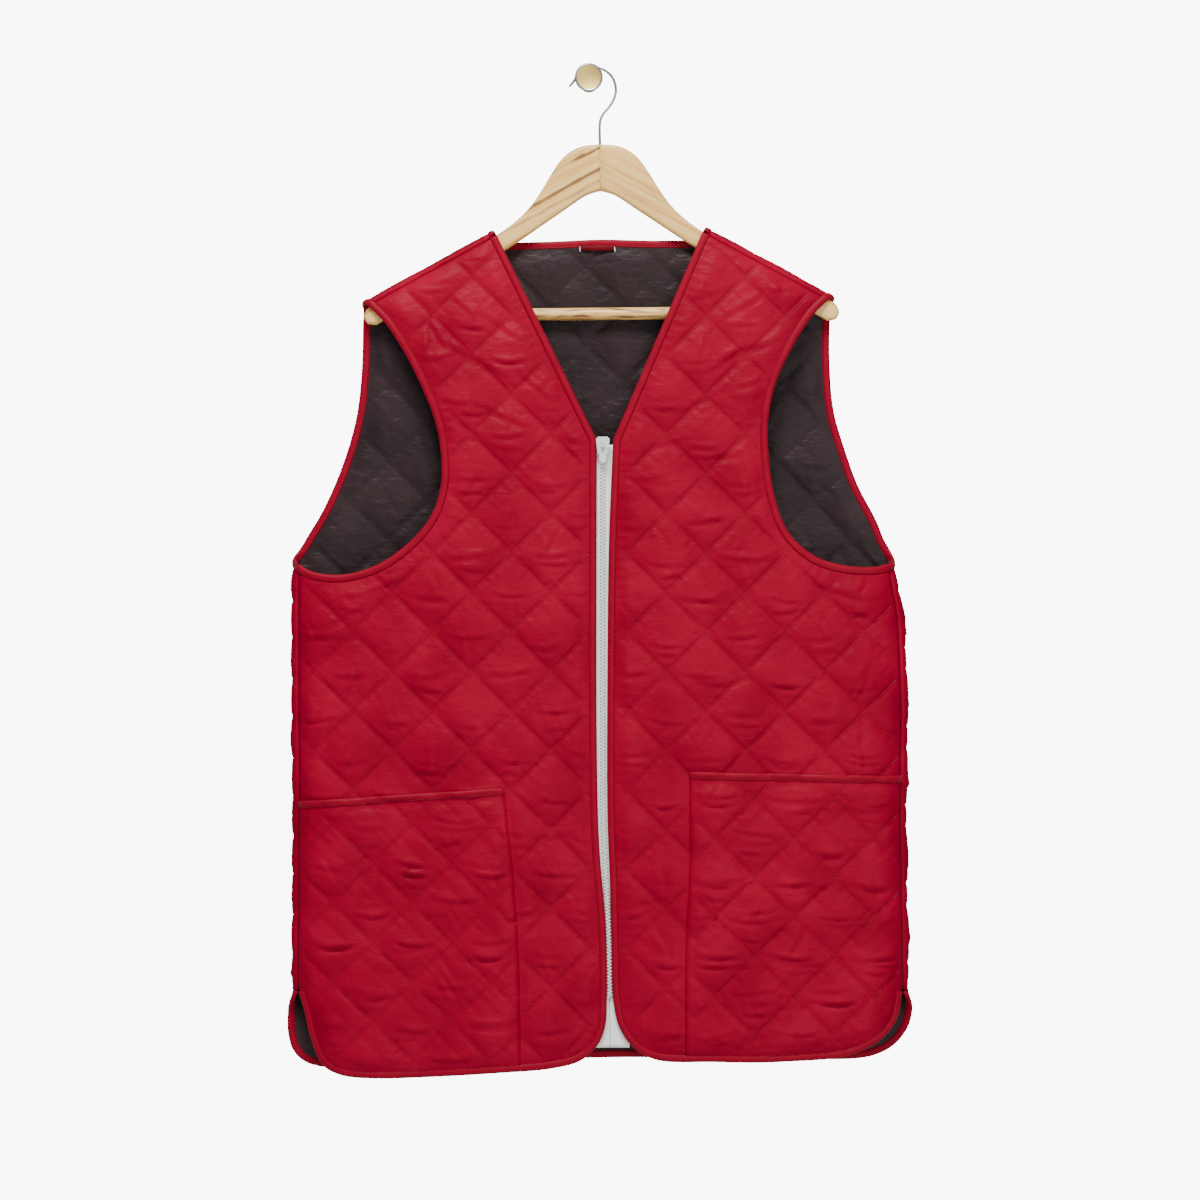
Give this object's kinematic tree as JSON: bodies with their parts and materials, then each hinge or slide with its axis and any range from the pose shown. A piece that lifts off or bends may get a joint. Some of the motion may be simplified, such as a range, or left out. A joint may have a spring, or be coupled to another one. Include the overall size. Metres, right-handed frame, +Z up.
{
  "type": "quilted zip vest on a wooden hanger",
  "caption": "Sleeveless diamond-quilted vest with a V neck, front zip, patch pockets and bound edges, zipped up on a flat wooden clothes hanger that hangs from a wall peg.",
  "frame": {"origin": "middle of the wall peg's flat back face, where it meets the wall", "axes": "+Z up, +Y into the wall, -Y out of the wall towards the vest's front, +X towards the wearer's left side"},
  "size_m": [0.578, 0.0652, 0.934],
  "materials": {
    "shell": "satin woven nylon, diamond quilted",
    "trim": "satin woven binding tape",
    "lining": "soft matt woven lining, diamond quilted",
    "zip_tape": "white woven zip tape",
    "zip_chain": "white moulded zip teeth",
    "zip_metal": "light grey satin enamel on die-cast metal",
    "wood": "satin clear lacquer on pale wood",
    "steel": "bright plated wire",
    "brass": "brushed pale brass"
  },
  "bodies": {
    "vest": {"front_right": "shell", "front_left": "shell", "back": "shell", "pocket_right": "shell", "pocket_left": "shell", "pocket_binding_right": "trim", "pocket_binding_left": "trim", "edge_binding_right": "trim", "edge_binding_left": "trim", "armhole_binding_right": "trim", "armhole_binding_left": "trim", "neck_binding": "trim", "back_hem_binding": "trim", "neck_loop": "trim", "lining_back": "lining", "zip_tape_right": "zip_tape", "zip_tape_left": "zip_tape", "zip_chain": "zip_chain", "zip_slider": "zip_metal", "hanger_arm_right": "wood", "hanger_arm_left": "wood", "hanger_bar": "wood", "hanger_hook": "steel", "wall_peg": "brass"},
    "pull": {"zip_pull": "zip_metal"}
  },
  "joints": [
    {"name": "pull_hinge", "type": "hinge", "parent": "vest", "child": "pull", "pos_m": [0.01286, -0.05665, -0.34005], "axis": [-1, 0, 0], "range_deg": [0, 140]}
  ]
}
